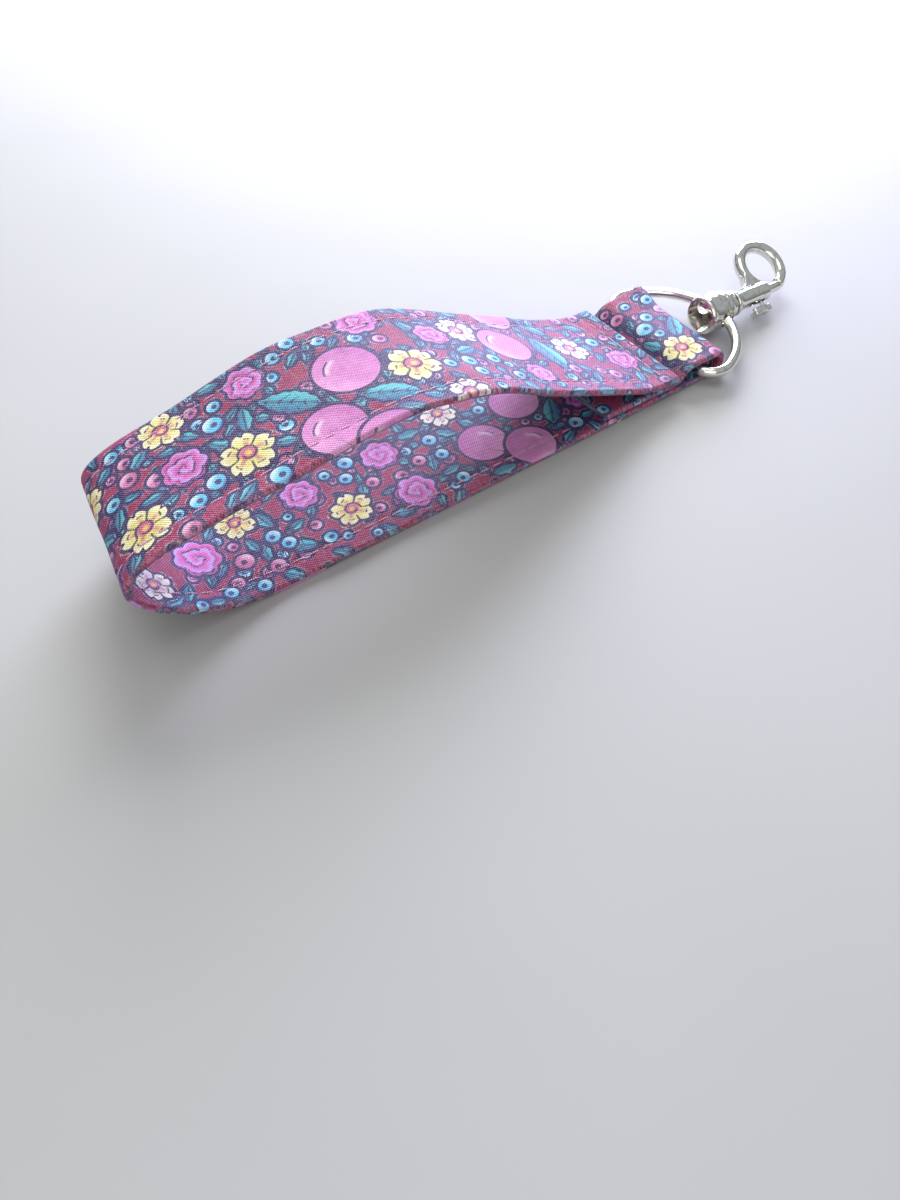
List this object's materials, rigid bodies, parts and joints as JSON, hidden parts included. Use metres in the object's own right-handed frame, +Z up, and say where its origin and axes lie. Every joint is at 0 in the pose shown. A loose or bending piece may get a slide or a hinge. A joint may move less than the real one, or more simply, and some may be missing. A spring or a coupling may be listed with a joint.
{
  "type": "wristlet keychain",
  "caption": "Wrist strap of folded printed cotton with a top-stitched loop, a metal D-ring in its sewn tab and a swivel bolt snap for keys.",
  "frame": {"origin": "on the flat underside of the loop's lower layer, on the strap's centre line, where the strap rests on a table", "axes": "+X along the strap towards its ring and clasp, +Y across the strap to its far edge, +Z up from the table"},
  "size_m": [0.1746, 0.037, 0.028],
  "materials": {
    "printed_cotton": "plain-weave quilting cotton, burgundy ground with a small multicolour floral print",
    "interfacing": "stiff non-woven interfacing",
    "sewing_thread": "pale pink polyester thread",
    "nickel_plate": "bright nickel plate, lightly scuffed",
    "spring_steel": "drawn spring wire"
  },
  "bodies": {
    "strap": {"strap_cover": "printed_cotton", "strap_interfacing": "interfacing", "near_edge_needle_thread": "sewing_thread", "near_edge_bobbin_thread": "sewing_thread", "far_edge_needle_thread": "sewing_thread", "far_edge_bobbin_thread": "sewing_thread", "seam_thread_front": "sewing_thread", "seam_thread_back": "sewing_thread"},
    "ring": {"d_ring": "nickel_plate"},
    "cup": {"swivel_cup": "nickel_plate", "swivel_washer": "nickel_plate", "swivel_rivet": "nickel_plate"},
    "hook": {"hook_body": "nickel_plate", "bolt_spring": "spring_steel"},
    "bolt": {"slide_bolt": "nickel_plate", "thumb_stud": "nickel_plate"}
  },
  "joints": [
    {"name": "ring_swing", "type": "hinge", "parent": "strap", "child": "ring", "pos_m": [0.0496, -0.0004, 0.0031], "axis": [0, -1, 0], "range_deg": [-85, 85]},
    {"name": "cup_swing", "type": "hinge", "parent": "ring", "child": "cup", "pos_m": [0.0673, -0.0014, 0.0045], "axis": [0, -1, 0], "range_deg": [-70, 70]},
    {"name": "clasp_swivel", "type": "hinge", "parent": "cup", "child": "hook", "pos_m": [0.0668, -0.0014, 0.0045], "axis": [0.999, 0, -0.0436], "continuous": true},
    {"name": "bolt_slide", "type": "slide", "parent": "hook", "child": "bolt", "axis": [-0.999, 0, 0.0436], "range_m": [0, 0.0034], "stiffness_N_per_m": 80, "springref_m": -0.004, "deforming": ["bolt_spring"]}
  ]
}
